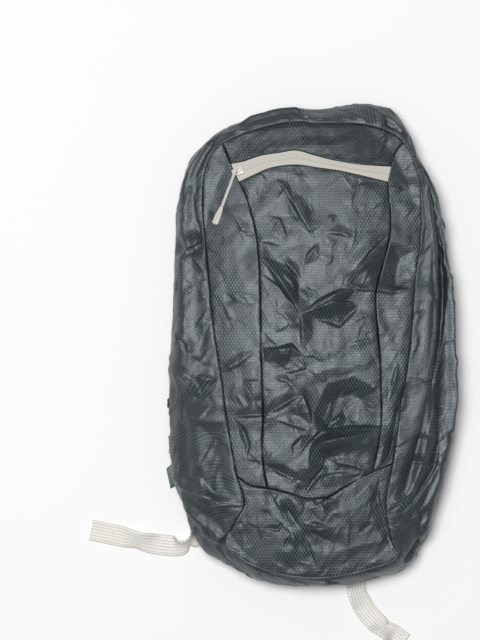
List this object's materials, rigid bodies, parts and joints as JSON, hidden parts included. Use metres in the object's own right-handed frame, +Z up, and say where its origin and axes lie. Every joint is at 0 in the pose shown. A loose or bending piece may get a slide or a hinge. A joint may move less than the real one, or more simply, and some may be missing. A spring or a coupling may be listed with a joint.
{
  "type": "packable backpack",
  "caption": "Lightweight packable backpack of thin ripstop nylon, lying slack on its back: front zip pocket, wrap-round gusset zip, shoulder straps and webbing tails beneath.",
  "frame": {"origin": "under the middle of the back panel, on the surface that the backpack lies on", "axes": "+Y towards the top of the bag, +Z up, out of its front, +X to the right as its front is seen from above"},
  "size_m": [0.3505, 0.5225, 0.0928],
  "materials": {
    "ripstop_nylon": "dobby ripstop weave with a slight sheen, crumpled",
    "zip_tape": "cream knitted zip tape and cord",
    "dark_zip": "dark knitted zip tape with coil",
    "webbing": "cream flat-woven webbing",
    "strap_mesh": "padded strap with air mesh",
    "zip_slider": "cream enamelled zinc slider",
    "light_plastic": "moulded acetal buckle and cord end"
  },
  "bodies": {
    "root": {"front_top_yoke": "ripstop_nylon", "pocket_zip_tape": "zip_tape", "front_centre_panel": "ripstop_nylon", "front_left_strip": "ripstop_nylon", "front_right_strip": "ripstop_nylon", "front_bottom_panel": "ripstop_nylon", "gusset_front_band": "ripstop_nylon", "main_zip": "dark_zip", "gusset_back_band": "ripstop_nylon", "bottom_gusset": "ripstop_nylon", "back_panel": "ripstop_nylon", "shoulder_strap_left": "strap_mesh", "shoulder_strap_right": "strap_mesh", "ladder_lock_left": "light_plastic", "ladder_lock_right": "light_plastic", "strap_webbing_left": "webbing", "strap_webbing_right": "webbing", "anchor_tab_left": "ripstop_nylon", "anchor_tab_right": "ripstop_nylon", "haul_loop": "webbing", "pocket_zip_slider": "zip_slider", "pocket_pull_cord": "zip_tape", "pocket_pull_tip": "light_plastic", "main_zip_slider": "dark_zip"}
  },
  "joints": []
}
